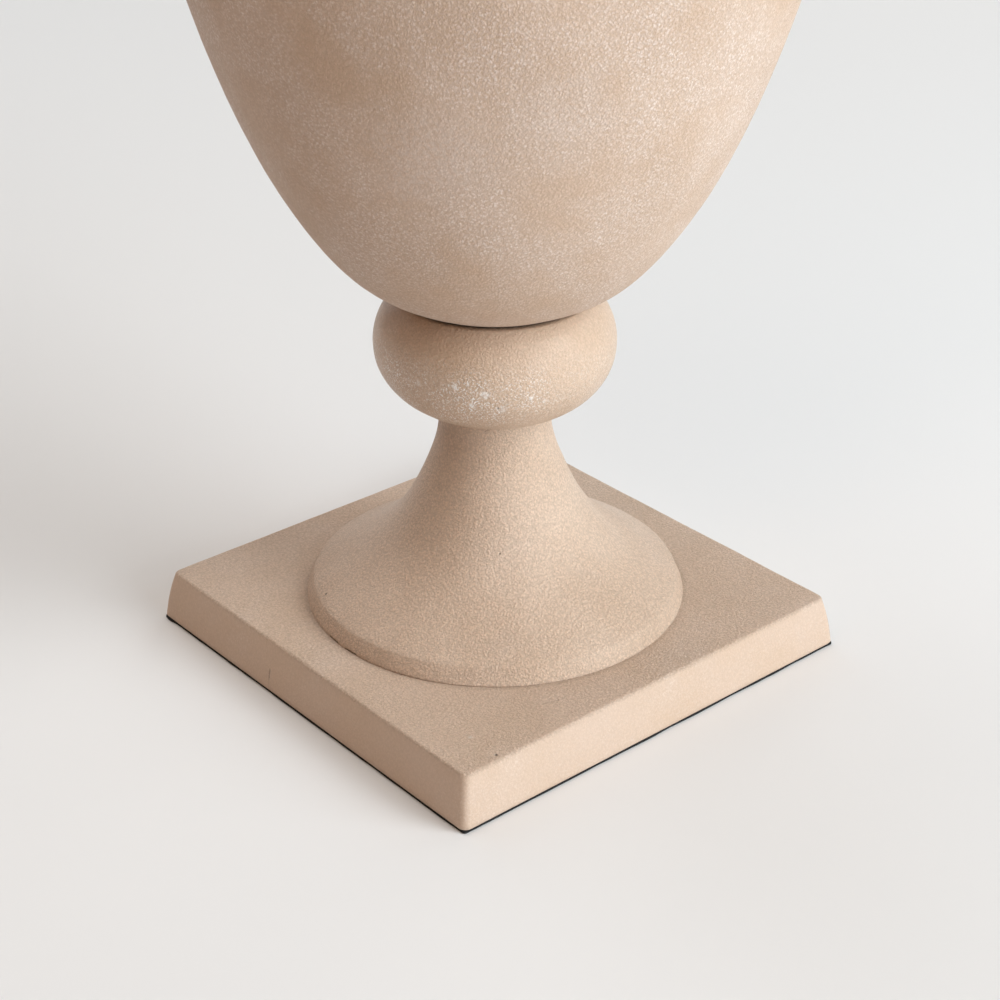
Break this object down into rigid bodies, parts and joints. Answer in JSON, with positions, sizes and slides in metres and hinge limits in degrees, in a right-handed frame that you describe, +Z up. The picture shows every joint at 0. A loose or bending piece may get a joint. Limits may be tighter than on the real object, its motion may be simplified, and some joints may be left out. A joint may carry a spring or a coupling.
{
  "type": "amphora",
  "caption": "Footed amphora with a square plinth, trumpet foot, collar knob, egg-shaped hollow body, flared neck with a rolled lip and two arched handles.",
  "frame": {"origin": "centre of the underside of the pad, on the surface that the amphora stands on", "axes": "+Z up along the vessel's axis, +X from the vessel's axis to the right handle, parallel to one side of the plinth"},
  "size_m": [0.2026, 0.2026, 0.445],
  "materials": {
    "pad": "matte",
    "plinth_paint": "matte",
    "foot_paint": "matte",
    "knob_paint": "matte",
    "body_paint": "matte",
    "neck_paint": "matte",
    "handle_paint": "matte",
    "steel": "satin",
    "seal": "matte"
  },
  "bodies": {
    "root": {"base_pad": "pad", "plinth": "plinth_paint", "foot": "foot_paint", "knob": "knob_paint", "body": "body_paint", "neck": "neck_paint", "handle_left": "handle_paint", "handle_right": "handle_paint", "handle_pins": "steel", "tie_rod": "steel", "plinth_washer": "steel", "plinth_lock_washer": "steel", "plinth_nut": "steel", "body_seal": "seal", "body_washer": "steel", "body_nut": "steel"}
  },
  "joints": []
}
